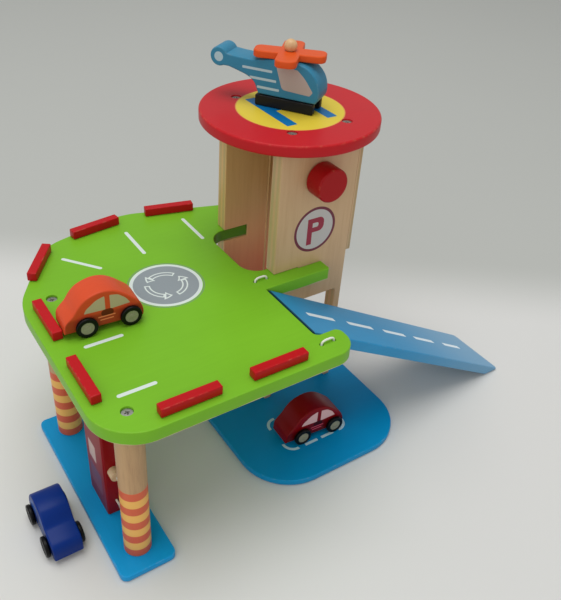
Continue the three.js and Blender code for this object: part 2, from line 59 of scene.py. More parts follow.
# Camera, as fitted to the photograph's level edges, right angles and circles
EYE = (-347.5, -475.4, 511.7)
EYE_LEVEL_TURN = (-2.14, 0.597, -0.3723)
LENS, SENSOR = 46.26, 36
SHIFT = (0.0347, -0.0063)

# Boards and tower, as in the part
GAP = 0.3
DECK_TOP, DECK_BOTTOM = 156, 144
ON_DECK, UNDER_DECK = DECK_TOP + GAP, DECK_BOTTOM - GAP
FOOT_BOARD = 6
ON_FOOT = FOOT_BOARD + GAP
WALL_INNER, WALL_OUTER, WALL_TOP, WALL_HALF = 36.5, 49.5, 274, 40
PAD_BOTTOM, PAD_TOP, PAD_RADIUS = 274.3, 284.3, 77.5
PAD_SCREW_X, PAD_SCREW_Y = 27.5, 43
AXLE_Z = 242
LEG_X, LEG_NEAR, LEG_FAR, LEG_RADIUS = -219.5, -139, 9.5, 11
RAMP_START, RAMP_FOOT, RAMP_TOP, RAMP_NOSE = -56, 210, 155.5, 0.8
RAMP_NEAR, RAMP_FAR, RAMP_THICK = -130.8, -64.8, 10
RAMP_MIDDLE = (RAMP_NEAR + RAMP_FAR) / 2
DOWEL_X, DOWEL_Z, DOWEL_RADIUS = -54, 139.9, 3.5
TIE_NEAR, TIE_FAR, TIE_HALF = -147, -50, 6
LIFT_CORD_X, LIFT_CORD_Y, LIFT_CORD_FOOT = 5.3, 32.5, 14.6
PUMP_FRONT, PUMP_PEG_X, PUMP_PEG_Z = -101.3, LEG_X - 1.5, 58
HELI_PLACE, HELI_TURN = (-7.6, -0.6, PAD_TOP + GAP), -56.1
HELI_SIDE = (math.sin(math.radians(HELI_TURN)), -math.cos(math.radians(HELI_TURN)), 0)

# Prints and surfaces, in millimetres unless it says otherwise
LINE_WIDTH = 3.4
ROUNDABOUT = (-129, -17.3)
SIGN = (0.5, 191.5)
STRIPE, STRIPES = 8.4, 9
PLY = 3.25
SOFT = 0.12
STRANDS, LAY = 3, 5.0
RELIEF_METRES = 0.00012
DUST = (0.75, 0.75, 0.72, 1)


# Shapes: each gives points, faces and a grade (rim, side, depth) at every point

def pose(place=(0, 0, 0), turn=0.0, tip=0.0):
    """A move that tips a shape about X, then turns it about Z, then places it."""
    matrix = Matrix.Rotation(math.radians(turn), 3, "Z") @ Matrix.Rotation(math.radians(tip), 3, "X")
    matrix = np.array(matrix)
    return lambda points: np.asarray(points, float) @ matrix.T + np.array(place, float)


def unit(vectors):
    """The vectors divided by their lengths."""
    return vectors / np.linalg.norm(vectors, axis=-1, keepdims=True)


def rounded(corners, step=5):
    """A closed outline through corners (x, y, radius), as a function of how far it is moved inwards.

    Each corner is an arc that touches both sides, its middle at radius / sin(half angle) on the halving
    line. Moved in by a, an outward corner's radius is radius - a, at least 0.03, an inward one's radius + a.
    """
    corners = np.array(corners, float)

    def outline(amount=0.0):
        sharp = inset(corners[:, :2], amount)
        points = []
        for i, radius in enumerate(corners[:, 2]):
            back = unit(sharp[i - 1] - sharp[i])
            on = unit(sharp[(i + 1) % len(corners)] - sharp[i])
            outward = on[0] * back[1] - on[1] * back[0] > 0
            half = math.acos(np.clip(back @ on, -1, 1)) / 2
            arc = max(0.03, radius - amount if outward else radius + amount)
            middle = sharp[i] + unit(back + on) * arc / math.sin(half)
            start = sharp[i] + back * arc / math.tan(half) - middle
            sweep = (math.pi - 2 * half) * (1 if outward else -1)
            count = max(2, math.ceil(abs(math.degrees(sweep)) / step))
            angles = math.atan2(start[1], start[0]) + np.linspace(0, sweep, count + 1)
            points.append(middle + arc * np.c_[np.cos(angles), np.sin(angles)])
        return np.concatenate(points)

    return outline


def box_plan(x0, x1, y0, y1, radius, step=8):
    """A rectangle in plan with rounded corners."""
    return rounded([(x0, y0, radius), (x1, y0, radius), (x1, y1, radius), (x0, y1, radius)], step)


def circle(x, y, radius, sides):
    """Points on a circle: x + r cos a, y + r sin a."""
    angles = np.arange(sides) * 2 * np.pi / sides
    return np.c_[x + radius * np.cos(angles), y + radius * np.sin(angles)]


def smooth(knots, spacing):
    """A curve through knots: cubic pieces whose slopes come from the neighbours, spaced evenly.

    The knots' times grow by the square root of their distance, and each piece is a Hermite cubic.
    """
    knots = np.asarray(knots, float)
    line = np.vstack([2 * knots[0] - knots[1], knots, 2 * knots[-1] - knots[-2]])
    gaps = np.sqrt(np.linalg.norm(np.diff(line, axis=0), axis=1))[:, None]
    slopes = np.diff(line, axis=0) / gaps
    before, after = gaps[:-1], gaps[1:]
    tangents = (slopes[:-1] * after + slopes[1:] * before) / (before + after)
    counts = np.maximum(1, np.ceil(np.linalg.norm(np.diff(knots, axis=0), axis=1) / spacing)).astype(int)
    piece = np.repeat(np.arange(len(counts)), counts)
    t = np.concatenate([np.arange(n) / n for n in counts])[:, None]
    span = gaps[1:-1][piece]
    step = 3 * t**2 - 2 * t**3
    curve = (1 - step) * knots[:-1][piece] + step * knots[1:][piece]
    curve += span * ((t**3 - 2 * t**2 + t) * tangents[:-1][piece] + (t**3 - t**2) * tangents[1:][piece])
    return np.vstack([curve, knots[-1]])


def inset(outline, amount):
    """The outline moved inwards by amount: each point goes along its mitre, (n1 + n2) / (1 + n1 n2)."""
    ahead = unit(np.roll(outline, -1, 0) - outline)
    behind = np.roll(ahead, 1, 0)
    normals = np.c_[-(ahead + behind)[:, 1], (ahead + behind)[:, 0]]
    return outline + amount * normals / (1 + (ahead * behind).sum(1))[:, None]


def fan(ring, tip):
    """Triangles from a closed ring of points to one point."""
    return [[a, tip, b] for a, b in zip(ring.tolist(), np.roll(ring, -1).tolist())]


def skin(rings, grade, closed=True):
    """Quads between neighbouring rings; where closed, each end goes to the middle of its ring."""
    count, sides = rings.shape[:2]
    index = np.arange(count * sides).reshape(count, sides)
    on = np.roll(index, -1, 1)
    faces = np.stack([index[:-1], on[:-1], on[1:], index[1:]], -1).reshape(-1, 4).tolist()
    points = rings.reshape(-1, 3)
    grade = np.broadcast_to(grade[:, None, :] if grade.ndim == 2 else grade, rings.shape).reshape(-1, 3)
    if closed:
        faces += fan(index[0], len(points)) + fan(index[-1], len(points) + 1)
        points = np.vstack([points, rings[0].mean(0), rings[-1].mean(0)])
        grade = np.vstack([grade, grade[0], grade[index[-1, 0]]])
    return points, faces, grade


def fill(flat, loops, hollows=()):
    """Triangles over flat loops of points, without those whose middle lies in a round hollow."""
    edges = [(loop[k - 1], loop[k]) for loop in loops for k in range(len(loop))]
    found = delaunay_2d_cdt([Vector(p) for p in flat], edges, [], 1, 1e-7)
    faces = np.array([ids[0] for ids in found[3]])[np.array(found[2])]
    middle = flat[faces].mean(1)
    keep = np.ones(len(faces), bool)
    for x, y, radius in hollows:
        keep &= np.hypot(middle[:, 0] - x, middle[:, 1] - y) > radius
    return faces[keep].tolist()


def eased(radius, low, high, edge, steps=4):
    """The profile (radius, height, rim, side) of a rod whose rims are quarter circles.

    radius - edge (1 - sin t) and low + edge (1 - cos t), and the same from the top.
    """
    t = np.linspace(0, np.pi / 2, steps + 1)
    r, z = radius - edge * (1 - np.sin(t)), edge * (1 - np.cos(t))
    rim, side, flat = np.sin(2 * t), np.sin(t) ** 2, radius - edge
    return np.vstack([[[flat * 0.5, low, 0, 0], [flat - 0.2, low, 0, 0]],
                      np.c_[r, low + z, rim, side], np.c_[r, high - z, rim, side][::-1],
                      [[flat - 0.2, high, 0, 0], [flat * 0.02, high, 0, 0]]])


def board(outline, low, high, edge, holes=(), carry=pose(), steps=4):
    """A board: the outline goes up the profile of an eased rim, and triangles fill its faces.

    A hole (x, y, radius, depth) is a well with a flat floor in the top face.
    """
    profile = eased(0, low, high, edge, steps)[1:-1]
    loops = [outline(amount) for amount in -profile[:, 0]]
    rings = np.array([np.c_[loop, np.full(len(loop), z)] for loop, z in zip(loops, profile[:, 1])])
    points, faces, grade = skin(rings, np.c_[profile[:, 2:], profile[:, 1] - low], closed=False)
    count, thick, sides = len(loops[0]), high - low, 28
    faces += fill(loops[0], [range(count)])
    flat, flat_ids = [loops[-1]], [np.arange(count) + len(points) - count]
    for x, y, radius, depth in holes:
        start = len(points)
        sunk = np.array([np.c_[circle(x, y, radius - shrink, sides), np.full(sides, high - drop)]
                         for shrink, drop in ((0, 0), (0.15, 0.25), (0.15, depth))])
        tones = np.array([[0, 0, thick], [1, 1, thick], [0, 1, thick]])
        extra, walls, marks = skin(sunk, tones, closed=False)
        rim = np.arange(sides) + start
        faces += (np.array(walls) + start).tolist() + fan(rim + 2 * sides, start + len(extra))
        points = np.vstack([points, extra, [x, y, high - depth]])
        grade = np.vstack([grade, marks, tones[2]])
        flat.append(sunk[0, :, :2])
        flat_ids.append(rim)
    sizes = np.cumsum([0, *map(len, flat)])
    spans = [range(a, b) for a, b in zip(sizes, sizes[1:])]
    lids = fill(np.concatenate(flat), spans, [hole[:3] for hole in holes])
    faces += np.concatenate(flat_ids)[np.array(lids)].tolist()
    return carry(points), faces, grade


def sawn(curve, low, high, edge, carry):
    """A board with a free outline."""
    return board(lambda amount: inset(curve, amount), low, high, edge, carry=carry)


def turned(profile, sides, carry=pose()):
    """A turned solid: each (radius, height, rim, side) of the profile goes round the axis."""
    rings = np.array([np.c_[circle(0, 0, row[0], sides), np.full(sides, row[1])] for row in profile])
    points, faces, grade = skin(rings, np.c_[profile[:, 2:4], profile[:, 1]])
    return carry(points), faces, grade


def cord_tube(path, across, sides=18):
    """A laid cord of 1 mm radius: a circle carried along the path, its radius waved by the strands.

    r = 1 - 0.09 + 0.09 cos(strands (angle - 2 pi s / lay)), s being the length along the path.
    The grade holds how deep the groove is and the length.
    """
    ahead = unit(np.gradient(path, axis=0))
    first = unit(np.cross(ahead, np.cross(across, ahead)))
    second = np.cross(ahead, first)
    length = np.r_[0, np.cumsum(np.linalg.norm(np.diff(path, axis=0), axis=1))][:, None]
    angles = np.arange(sides) * 2 * np.pi / sides
    wave = np.cos(STRANDS * (angles - 2 * np.pi * length / LAY))
    out = np.cos(angles)[:, None] * first[:, None] + np.sin(angles)[:, None] * second[:, None]
    grade = np.stack(np.broadcast_arrays(0.5 - 0.5 * wave, 0, length), -1)
    return skin(path[:, None] + (0.91 + 0.09 * wave)[..., None] * out, grade)


def put(name, shape, finish, node_name, body="root", crease=38):
    """Makes one piece of a shape: its mesh in metres with outward normals, parented to its body, with the
    CAD part it stands for hidden.
    """
    points, faces, grade = shape
    mesh = bpy.data.meshes.new(name)
    mesh.from_pydata((np.asarray(points) * MM).tolist(), [], faces)
    layer = mesh.attributes.new("grade", "FLOAT_VECTOR", "POINT")
    layer.data.foreach_set("vector", np.ascontiguousarray(grade, np.float32).ravel())
    work = bmesh.new()
    work.from_mesh(mesh)
    bmesh.ops.recalc_face_normals(work, faces=work.faces)
    work.to_mesh(mesh)
    work.free()
    mesh.shade_smooth()
    mesh.set_sharp_from_angle(angle=math.radians(crease))
    mesh.materials.append(finish)
    piece = bpy.data.objects.new(name, mesh)
    bpy.context.collection.objects.link(piece)
    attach(piece, body)
    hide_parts(node_name)
    return piece


# Nodes

class Value:
    """A node's output, whose sums, differences, products and quotients are Math nodes."""

    def __init__(self, socket):
        self.socket = socket

    def __add__(self, other):
        return calc("ADD", self, other)

    def __sub__(self, other):
        return calc("SUBTRACT", self, other)

    def __mul__(self, other):
        return calc("MULTIPLY", self, other)

    def __truediv__(self, other):
        return calc("DIVIDE", self, other)


def feed(made, values):
    """Gives each of values to the node's input of that name or number, as a link or as a constant.

    A colour is an sRGB triple from 0 to 255, or four linear numbers.
    """
    for key, value in values.items():
        if isinstance(value, Value):
            made.id_data.links.new(value.socket, made.inputs[key])
        elif made.inputs[key].type == "RGBA" and len(value) == 3:
            made.inputs[key].default_value = linear(value)
        else:
            made.inputs[key].default_value = value


def node(kind, values=(), tree=None, **settings):
    """The outputs of a new node fed with values, in their tree unless another is given."""
    values = dict(values)
    tree = tree or next(v.socket.id_data for v in values.values() if isinstance(v, Value))
    made = tree.nodes.new("ShaderNode" + kind)
    for key, value in settings.items():
        setattr(made, key, value)
    feed(made, values)
    return [Value(output) for output in made.outputs]


def calc(operation, *values, clamp=False):
    """One Math node on up to three values."""
    return node("Math", enumerate(values), operation=operation, use_clamp=clamp)[0]


def vector(operation, *values, out=0):
    """One Vector Math node; its output 1 is the number that a length or a dot product gives."""
    return node("VectorMath", enumerate(values), operation=operation)[out]


def split(place):
    """The three parts of a vector."""
    return node("SeparateXYZ", {0: place})


def linear(colour):
    """The linear colour of an sRGB triple from 0 to 255."""
    share = np.array(colour) / 255
    return (*np.where(share <= 0.04045, share / 12.92, ((share + 0.055) / 1.055) ** 2.4).tolist(), 1.0)


def blend(mask, under, over):
    """over laid on under where the mask is 1."""
    return node("Mix", {0: mask, 6: under, 7: over}, data_type="RGBA")[2]


def lay(shade, colour, *masks):
    """The colour laid on a shade where the product of the masks is 1."""
    return blend(math.prod(masks[1:], start=masks[0]), shade, colour)


def rise(value, low, high):
    """A smooth step of the value, from 0 at low to 1 at high."""
    return node("MapRange", {0: value, 1: low, 2: high}, interpolation_type="SMOOTHSTEP")[0]


def inside(distance):
    """1 where the distance is below 0, with a soft edge."""
    return rise(distance, SOFT, -SOFT)


def join(masks):
    """The greatest of several masks."""
    return reduce(lambda a, b: calc("MAXIMUM", a, b), masks)


def noise(where, scale, detail=3.0, rough=0.55):
    """Fractal noise from 0 to 1, scale being its waves to a metre."""
    return node("TexNoise", {"Vector": where, "Scale": scale, "Detail": detail, "Roughness": rough})[0]


def node_group(wire):
    """Makes a node group of a function of values, and gives back a function that places the group.

    The annotations say what kind each input is, and the function gives its outputs by name.
    """
    kinds = wire.__annotations__
    tree = bpy.data.node_groups.new(wire.__name__, "ShaderNodeTree")
    for label, kind in kinds.items():
        tree.interface.new_socket(label, in_out="INPUT", socket_type="NodeSocket" + kind)
    source = tree.nodes.new("NodeGroupInput")
    results = wire(*[Value(source.outputs[label]) for label in kinds])
    for label, value in results.items():
        kind = "Color" if value.socket.type == "RGBA" else "Float"
        tree.interface.new_socket(label, in_out="OUTPUT", socket_type="NodeSocket" + kind)
    feed(tree.nodes.new("NodeGroupOutput"), results)
    return lambda *values: node("Group", zip(kinds, values), node_tree=tree)


def flat_away(place, middle):
    """From the middle to the place, without its third part."""
    return vector("MULTIPLY", vector("SUBTRACT", place, middle), (1, 1, 0))


def polar(place, middle, radius, start, least=0.0):
    """How far a place is outside a circle, and its angle past start, which begins at the least."""
    away = flat_away(place, middle)
    x, y, _ = split(away)
    turn = calc("WRAP", calc("ARCTAN2", y, x) - start, 2 * math.pi + least, least)
    return vector("LENGTH", away, out=1) - radius, turn


@node_group
def print_bar(place: "Vector", middle: "Vector", core: "Vector", corner: "Float", turn: "Float"):
    """Rounded bar: |max(|turned place| - core, 0)| - corner is below 0 inside."""
    given = {"Vector": flat_away(place, middle), "Angle": turn}
    size = vector("ABSOLUTE", node("VectorRotate", given, rotation_type="Z_AXIS")[0])
    past = vector("MAXIMUM", vector("SUBTRACT", size, core), (0, 0, 0))
    return {"Mask": inside(vector("LENGTH", past, out=1) - corner)}


@node_group
def print_ring(place: "Vector", middle: "Vector", radius: "Float", half_width: "Float", start: "Float",
               sweep: "Float"):
    """Part of a ring: | |place| - radius | < half width, and the angle past the start below the sweep."""
    off, turn = polar(place, middle, radius, start)
    return {"Mask": inside(calc("ABSOLUTE", off) - half_width) * calc("LESS_THAN", turn, sweep)}


@node_group
def print_arrow(place: "Vector", middle: "Vector", radius: "Float", shaft: "Float", start: "Float"):
    """Outline of an arrow bent round the middle: s = radius x angle along it, t = |place| - radius across.

    The shaft is a box in s and t, the head a triangle; the line runs 0.6 inside both.
    """
    off, turn = polar(place, middle, radius, start, -0.4)
    along, across = turn * radius, calc("ABSOLUTE", off)
    ahead = along - shaft
    box = join([along * -1.0, ahead, across - 2.5])
    head = join([ahead * -1.0, (across + ahead * 0.79 - 5.4) * 0.78])
    distance = calc("MINIMUM", box, head)
    return {"Mask": rise(calc("ABSOLUTE", distance + 0.6), 0.72, 0.5)}


@node_group
def paint_on_wood(place: "Vector", stretch: "Vector", paint: "Color", bare: "Color", rim: "Float",
                  wear: "Float"):
    """Paint on wood: streaks of the grain below, slow patches, dust specks, and bare wood on worn rims.

    The grain is noise in a space that stretch draws out along the wood. A rim is worn where its noise is
    high.
    """
    grain = noise(vector("MULTIPLY", place, stretch), 420.0, 5.0, 0.6)
    patch = noise(place, 14.0, 2.0)
    orange_peel = noise(place, 900.0, 2.0, 0.5)
    specks = rise(noise(place, 1500.0, 2.0, 0.6), 0.77, 0.83)
    tone = grain * 0.1 + patch * 0.16 + 0.87
    shade = node("VectorMath", {0: paint, "Scale": tone}, operation="SCALE")[0]
    worn = calc("MULTIPLY", rim * rise(noise(place, 160.0, 4.0, 0.7), 0.5, 0.66), wear, clamp=True)
    colour = blend(specks * 0.06, blend(worn, shade, bare), DUST)
    return {"Colour": colour, "Roughness": patch * 0.16 + join([worn, specks]) * 0.25 + 0.3,
            "Height": grain * 0.5 + orange_peel * 0.25 - worn * 0.4}


@node_group
def bare_wood(place: "Vector", stretch: "Vector", light: "Color", dark: "Color", end: "Color",
              depth: "Float", side: "Float", rim: "Float", plies: "Float"):
    """Bare wood: fine fibres and slow bands of the grain, and plies across the thickness on edge faces.

    Every other ply shows darker end grain.
    """
    fibres = vector("MULTIPLY", place, stretch)
    fibre = noise(fibres, 700.0, 5.0, 0.65)
    band = noise(vector("ADD", fibres, (0.3, 0.7, 0.1)), 95.0, 3.0, 0.5)
    rings = calc("PINGPONG", band * 7.0, 1.0)
    pores = rise(noise(fibres, 1600.0, 2.0, 0.5), 0.66, 0.76)
    colour = blend(rise(fibre * 0.5 + rings * 0.22 + 0.02, 0.25, 0.85), light, dark)
    ply = rise(calc("PINGPONG", depth / PLY, 1.0), 0.42, 0.58) * side * plies
    colour = blend(ply, colour, blend(noise(place, 2200.0, 3.0, 0.7), dark, end))
    colour = blend(pores * 0.12, colour, end)
    colour = blend(rim * (noise(place, 60.0) * 0.3 + 0.05), colour, end)
    return {"Colour": colour, "Roughness": fibre * 0.2 + 0.42,
            "Height": fibre * 0.5 - pores * 0.4 - ply * 0.35}


def bar(at, x, y, length, width, turn=0.0, corner=None):
    """A printed bar with round ends, or with corners of its own radius."""
    corner = width / 2 if corner is None else corner
    core = (length / 2 - corner, width / 2 - corner, 0)
    return print_bar(at, (x, y, 0), core, corner, math.radians(-turn))[0]


def ring(at, x, y, radius, width, start=0.0, sweep=361.0):
    """A printed ring or a part of one."""
    return print_ring(at, (x, y, 0), radius, width / 2, math.radians(start), math.radians(sweep))[0]


def disc(at, x, y, radius):
    """A printed disc: a ring whose middle line is at half the radius."""
    return ring(at, x, y, radius / 2, radius)


def polygon(at, corners):
    """A printed convex patch: the least of the distances to its sides, counted inwards, is above 0."""
    corners = np.array(corners, float)
    ahead = unit(np.roll(corners, -1, 0) - corners)
    normals = np.c_[-ahead[:, 1], ahead[:, 0]]
    reach = (normals * corners).sum(1)
    sides = [vector("DOT_PRODUCT", at, (nx, ny, 0), out=1) - offset
             for (nx, ny), offset in zip(normals.tolist(), reach.tolist())]
    return rise(reduce(lambda a, b: calc("SMOOTH_MIN", a, b, 1.2), sides), -SOFT, SOFT)


# Finishes

BARE = (205, 180, 135)


class Surface:
    """A material in the making: where in metres, local in millimetres from a given spot, and the grade."""

    def __init__(self, name, place=(0, 0, 0), turn=0.0):
        self.material = bpy.data.materials.new(name)
        self.material.use_nodes = True
        self.tree = self.material.node_tree
        _, self.facing, _, self.where, *_ = node("TexCoord", tree=self.tree)
        self.local = node("Mapping", {
            "Vector": self.where, "Location": tuple(MM * v for v in place), "Scale": (MM, MM, MM),
            "Rotation": (0, 0, math.radians(turn))}, vector_type="TEXTURE")[0]
        self.rim, self.side, self.depth = split(node("Attribute", tree=self.tree, attribute_name="grade")[1])

    def face(self, direction, both=False):
        """1 where the surface faces this way, or either way."""
        along = vector("DOT_PRODUCT", self.facing, direction, out=1)
        return rise(calc("ABSOLUTE", along) if both else along, 0.6, 0.8)

    def upright(self, across):
        """The local place on an upright plane: x or y across, and z up."""
        x, y, z = split(self.local)
        return node("CombineXYZ", {0: x if across == "x" else y, 1: z})[0]

    def finish(self, colour, rough, height, bump=0.12, **constants):
        """Feeds the shader; the constants go to its own sockets, _ standing for a space."""
        relief = node("Bump", {"Height": height, "Strength": bump, "Distance": RELIEF_METRES})[0]
        feed(self.tree.nodes["Principled BSDF"], {
            "Base Color": colour, "Roughness": rough, "Normal": relief,
            **{key.replace("_", " "): value for key, value in constants.items()}})
        return self.material


def painted(name, colour, stretch, wear, prints=None, place=(0, 0, 0), turn=0.0):
    """Satin paint on wood; prints(surface, shade) may lay prints, and painted light and shade, on it."""
    surface = Surface(name, place, turn)
    shade, rough, height = paint_on_wood(surface.where, stretch, colour, BARE, surface.rim, wear)
    shade = prints(surface, shade) if prints else shade
    return surface.finish(shade, rough, height,
                          Coat_Weight=0.05, Coat_Roughness=0.3, Specular_IOR_Level=0.14)


def wooden(name, light, dark, end, stretch, plies=0.0, prints=None):
    """Lacquered bare wood; prints(surface, shade) may lay prints, and painted light and shade, on it."""
    surface = Surface(name)
    shade, rough, height = bare_wood(surface.where, stretch, light, dark, end,
                                     surface.depth, surface.side, surface.rim, plies)
    shade = prints(surface, shade) if prints else shade
    return surface.finish(shade, rough, height, bump=0.2, Coat_Weight=0.15, Coat_Roughness=0.35)


def cord_finish(name, colour, groove):
    """Laid cotton: painted shade darkens the grooves between the strands, and the yarn is fuzzy."""
    surface = Surface(name)
    yarn = noise(surface.where, 2600.0, 4.0, 0.7)
    # Painted shade: the grooves between the strands take the darker groove colour.
    shade = blend(surface.rim * 0.8, colour, groove)
    shade = lay(shade, groove, yarn, 0.18)
    return surface.finish(shade, yarn * 0.12 + 0.82, yarn - surface.rim * 0.7, bump=0.35)


def screw_finish():
    """Plated steel with fine turning marks, and painted shade in the cross recess."""
    surface = Surface("screw_steel")
    scratches = noise(vector("MULTIPLY", surface.where, (1, 6, 1)), 900.0, 4.0, 0.7)
    stains = noise(surface.where, 500.0, 2.0)
    shade = blend(stains, (142, 142, 136), (184, 184, 176))
    # Painted shade: the cross recess is darkened as if shade falls in it.
    shade = lay(shade, (84, 80, 76), surface.rim, 0.75)
    return surface.finish(shade, scratches * 0.25 + 0.28, scratches, bump=0.15, Metallic=0.9)


def wheel_finish(name, tyre, hub, hub_mark):
    """A dark painted wheel with a pale hub, the hub zone being the first part of the grade."""
    surface = Surface(name)
    paint, rough, height = paint_on_wood(surface.where, (1, 1, 1), tyre, BARE, 0.0, 0.0)
    wood = blend(noise(surface.where, 800.0, 3.0, 0.6), hub, hub_mark)
    shade = blend(rise(surface.rim, 0.35, 0.65), paint, wood)
    return surface.finish(shade, rough, height,
                          Coat_Weight=0.05, Coat_Roughness=0.3, Specular_IOR_Level=0.16)


# Prints, painted light and painted shade, in millimetres

def deck_prints_and_painted_shade(surface, shade):
    """A thin bare lower rim, painted shade on the lift slot's edge, parking lines and the roundabout."""
    at, top = surface.local, surface.face((0, 0, 1))
    edge = surface.depth + noise(surface.where, 45.0) * 2.4 - 1.2
    shade = lay(shade, (222, 205, 160), rise(edge, 1.3, 0.7), rise(surface.side, 0.1, 0.4), 0.8)
    # Painted shade: the lift slot's edge inside the deck is darkened as if in shadow.
    shade = lay(shade, (46, 72, 14), bar(at, -37, 5, 48, 72, 0, 1), surface.side, 0.6)
    lines = [(-124, 56.5, 43, 90), (-65, 54.5, 43, 90), (-179.5, 46.5, 40, -51), (-204, -62, 32, 0),
             (-204.5, -123, 31, 0)]
    white = [bar(at, x, y, length, LINE_WIDTH, turn) for x, y, length, turn in lines]
    white.append(ring(at, *ROUNDABOUT, 29.6, 3.0))
    white += [print_arrow(at, (*ROUNDABOUT, 0), 16.2, 22.6, math.radians(start))[0]
              for start in (40, 160, 280)]
    shade = lay(shade, (142, 152, 156), disc(at, *ROUNDABOUT, 31), top)
    shade = lay(shade, (120, 140, 120), ring(at, *ROUNDABOUT, 32.4, 1.1), top, 0.75)
    return lay(shade, (214, 226, 220), join(white), top)


def ramp_prints_and_painted_light(surface, shade):
    """The dashed middle line, a painted reflection that pales the paint towards the toe, and a painted
    shadow at the upper end.
    """
    at, top = surface.local, surface.face((0.5, 0, 0.86))
    spans = [(-37.5, -6), (10.5, 43), (58.5, 89.5), (104, 134), (151.5, 179.5)]
    dashes = [bar(at, (a + b) / 2, RAMP_MIDDLE, b - a, 5.2, 0, 1.2) for a, b in spans]
    along = split(at)[0]
    # Painted reflection: the paint grows paler towards the toe, as the glancing light makes it.
    shade = lay(shade, (172, 186, 190), rise(along, 30, 205), 0.34)
    # Painted shadow: a dark band at the upper end, where the deck's edge shades the ramp.
    shade = lay(shade, (6, 40, 48), rise(along, RAMP_START + 2.4, RAMP_START + 1.2), 0.85)
    return lay(shade, (228, 242, 248), join(dashes), top)


def base_prints(surface, shade):
    """The parking place: four bent corners and two dashes on either long side."""
    at, top = surface.local, surface.face((0, 0, 1))
    left, right, near, far, radius, width = -48.5, 0.5, -110, -86.5, 9.5, 2.8
    marks = [ring(at, x, y, radius, width, start - 8, 106) for x, y, start in (
        (left, near, 180), (right, near, 270), (right, far, 0), (left, far, 90))]
    marks += [bar(at, x, y, 14, width, 0, 0.6) for x in (-33, -14.5) for y in (near - radius, far + radius)]
    return lay(shade, (196, 228, 238), join(marks), top)


def pad_prints(surface, shade):
    """The yellow landing circle with a peach rim and a blue H."""
    at, top = surface.local, surface.face((0, 0, 1))
    letter = [bar(at, -19, 1.5, 65, 10, 90, 0.3), bar(at, 21.5, 1.5, 65, 10, 90, 0.3),
              bar(at, 1, 5, 32, 9, 0, 0.3)]
    shade = lay(shade, (214, 150, 74), disc(at, 0, 0, 46.8), top)
    shade = lay(shade, (222, 198, 62), disc(at, 0, 0, 45.9), top)
    return lay(shade, (14, 112, 172), join(letter), top)


def wall_prints(surface, shade):
    """The parking sign: a red ring, a pale field and a plain letter P on the near wall's outer face."""
    at, front = surface.upright("x"), surface.face((0, -1, 0))
    stem = bar(at, -5, 190, 26, 5.4, 90, 0.2)
    bowl, hollow = bar(at, 1.2, 196, 17.4, 14, 0, 5.5), bar(at, 0.2, 196, 7.6, 4.4, 0, 1.8)
    bowl = calc("SUBTRACT", bowl, hollow, clamp=True)
    shade = lay(shade, (204, 197, 192), disc(at, *SIGN, 22), front)
    shade = lay(shade, (112, 18, 48), ring(at, *SIGN, 20.8, 2.6), front)
    return lay(shade, (158, 14, 52), join([stem, bowl]), front)


def shaft_painted_bounce_light(surface, shade):
    """Painted bounce light: the red of the lift's board, thrown on the far wall's inner face, full at 80 mm
    and gone at 190 mm; it stays when the lift rises.
    """
    glow = rise(split(surface.local)[2], 190.0, 80.0)
    return lay(shade, (222, 92, 66), glow, surface.face((0, -1, 0)), 0.75)


def pump_prints(surface, shade):
    """The display, and a muted panel that fades to pink at its foot, on the pump's left face."""
    at, left = surface.upright("y"), surface.face((-1, 0, 0))
    tint = blend(rise(split(at)[1], 24.0, 42.0), (150, 84, 96), (98, 78, 112))
    shade = blend(bar(at, -81.3, 34, 24, 24, 0, 3) * left * 0.65, shade, tint)
    shade = lay(shade, (160, 80, 88), bar(at, -78.3, 63.5, 17, 22, 0, 2), left, 0.4)
    return lay(shade, (205, 175, 165), bar(at, -78.3, 63.5, 14, 19, 0, 1.5), left)


def leg_stripes(surface, shade):
    """Painted stripes at the leg's foot, orange-red and yellow in turn."""
    wobble = noise(surface.where, 90.0) * 0.5 - 0.25
    up = split(surface.local)[2] + wobble - FOOT_BOARD
    low = rise(up, STRIPE * STRIPES + 0.2, STRIPE * STRIPES - 0.2)
    yellow = rise(calc("SINE", up * (math.pi / STRIPE)), 0.08, -0.08)
    return lay(lay(shade, (216, 92, 50), low), (244, 186, 88), low, yellow)


def helicopter_prints(surface, shade):
    """Window, three stripes and a tail disc on both sides of the helicopter."""
    at, sides = surface.upright("x"), surface.face(HELI_SIDE, both=True)
    window = polygon(at, [(-9, 36), (-3, 18), (-1, 16.5), (22, 15.5), (24.5, 19), (17, 29), (10, 35)])
    marks = [bar(at, (a + b) / 2, z, b - a, 2.1, 0, 0.6)
             for a, b, z in ((-39, -12, 29.8), (-32, -8, 22.3), (-25, -5, 15.3))]
    shade = lay(shade, (178, 166, 160), window, sides)
    return lay(shade, (174, 200, 208), join([*marks, disc(at, -61, 34.3, 4)]), sides)


def car_prints_and_painted_shade(panes, side, glass, ink_and_shade, pale):
    """Two windows on either side, a dark hump at the pillar's foot, and pale door lines on the lower sides,
    which painted shade darkens.
    """
    def prints(surface, shade):
        at, sides = surface.upright("x"), surface.face(side, both=True)
        lines = [bar(at, (a + b) / 2, z, b - a, 1.1) for a, b, z in ((-6, 8, 13.4), (-4.5, 6.5, 10.6))]
        # Painted shade: the sides darken below 15 to 19 mm up.
        shade = lay(shade, ink_and_shade, rise(split(at)[1], 19.0, 15.0), sides, 0.45)
        shade = lay(shade, glass, join([polygon(at, pane) for pane in panes]), sides)
        shade = lay(shade, ink_and_shade, bar(at, 0.3, 16.4, 10, 6.5, 0, 3.2), sides, 0.85)
        return lay(shade, pale, join(lines), sides)
    return prints


STEEL = screw_finish()
DOWEL_WOOD = wooden("dowel_wood", (205, 172, 128), (165, 128, 88), (120, 90, 60), (1, 0.06, 1))


# Pieces

